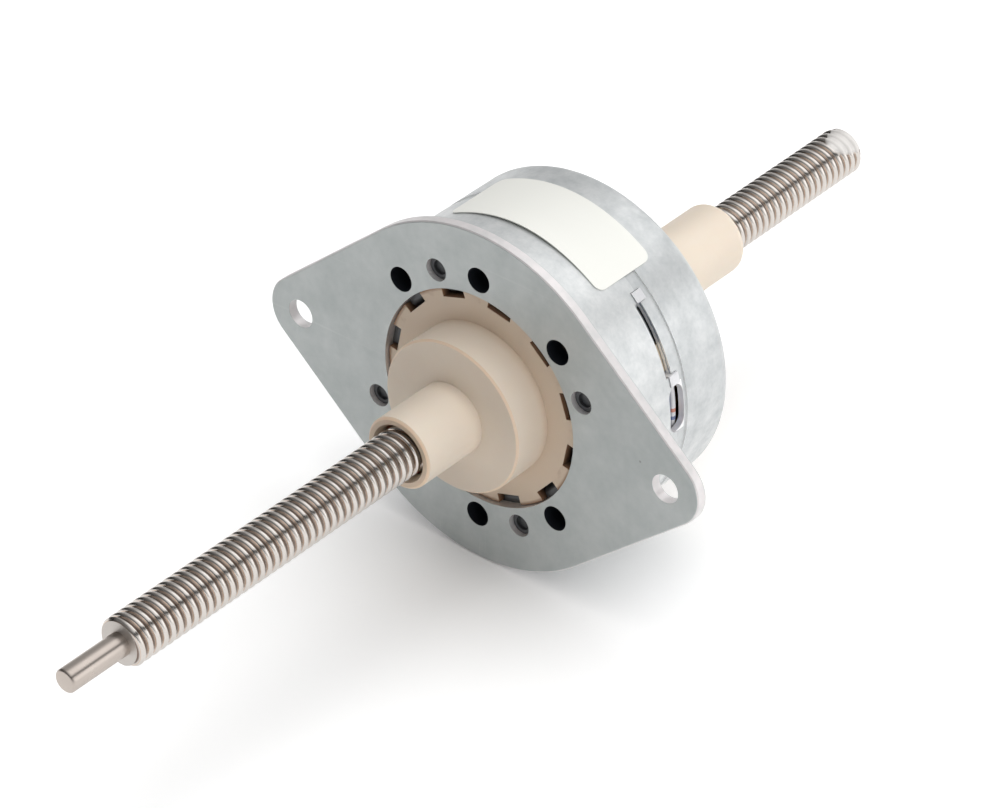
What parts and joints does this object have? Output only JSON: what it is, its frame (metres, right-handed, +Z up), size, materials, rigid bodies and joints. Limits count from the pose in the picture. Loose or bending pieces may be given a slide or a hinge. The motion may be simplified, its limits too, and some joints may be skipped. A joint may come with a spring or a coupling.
{
  "type": "linear actuator stepper motor",
  "caption": "Tin-can stepper motor on an eared mounting plate, driving a long lead screw with a plain pin straight in and out through its housings.",
  "frame": {"origin": "centre of the mounting plate's front face, on the lead screw's axis", "axes": "Y along the lead screw with the pin towards -Y, X through the two ear holes, Z up, towards the side of the label"},
  "size_m": [0.0656, 0.1431, 0.0462],
  "materials": {
    "zinc_plated_steel": "dull zinc plating with soft mottling",
    "beige_housing_plastic": "moulded beige plastic, satin",
    "stainless_screw_steel": "rolled stainless steel thread",
    "bearing_steel": "ground steel",
    "ball_steel": "polished steel",
    "spring_steel": "blued spring steel",
    "bobbin_plastic": "black moulded plastic",
    "copper_wire": "enamelled copper wire",
    "lead_wire": "coloured wire insulation",
    "anchor_plastic": "tan moulded plastic",
    "label_film": "blank off-white label, matt",
    "magnet_ferrite": "dark grey ferrite",
    "hub_plastic": "black moulded plastic",
    "nut_plastic": "self-lubricating off-white plastic"
  },
  "bodies": {
    "stator": {"flange_plate": "zinc_plated_steel", "front_cup": "zinc_plated_steel", "rear_cup": "zinc_plated_steel", "front_pole_plate": "zinc_plated_steel", "rear_pole_plate": "zinc_plated_steel", "front_bobbin": "bobbin_plastic", "rear_bobbin": "bobbin_plastic", "front_winding": "copper_wire", "rear_winding": "copper_wire", "front_housing": "beige_housing_plastic", "rear_housing": "beige_housing_plastic", "front_bearing_outer_ring": "bearing_steel", "rear_bearing_outer_ring": "bearing_steel", "preload_washer": "spring_steel", "label": "label_film", "lead_anchor": "anchor_plastic", "coil_leads": "lead_wire"},
    "rotor": {"rotor_magnet": "magnet_ferrite", "rotor_hub": "hub_plastic", "drive_nut": "nut_plastic", "front_bearing_inner_ring": "bearing_steel", "rear_bearing_inner_ring": "bearing_steel"},
    "front_balls": {"front_bearing_balls": "ball_steel"},
    "rear_balls": {"rear_bearing_balls": "ball_steel"},
    "screw": {"lead_screw": "stainless_screw_steel"}
  },
  "joints": [
    {"name": "rotor_spin", "type": "hinge", "parent": "stator", "child": "rotor", "pos_m": [0, 0, 0], "axis": [0, 1, 0], "range_deg": [-13280, 11800]},
    {"name": "screw_slide", "type": "slide", "parent": "stator", "child": "screw", "axis": [0, -1, 0], "range_m": [-0.045, 0.04]},
    {"name": "front_balls_spin", "type": "hinge", "parent": "stator", "child": "front_balls", "pos_m": [0, 0, 0], "axis": [0, 1, 0], "range_deg": [-6000, 6000]},
    {"name": "rear_balls_spin", "type": "hinge", "parent": "stator", "child": "rear_balls", "pos_m": [0, 0, 0], "axis": [0, 1, 0], "range_deg": [-6000, 6000]}
  ],
  "couplings": [
    {"joint": "screw_slide", "follows": "rotor_spin", "m_per_rad": 0.00019404},
    {"joint": "front_balls_spin", "follows": "rotor_spin", "ratio": 0.436},
    {"joint": "rear_balls_spin", "follows": "rotor_spin", "ratio": 0.436}
  ]
}
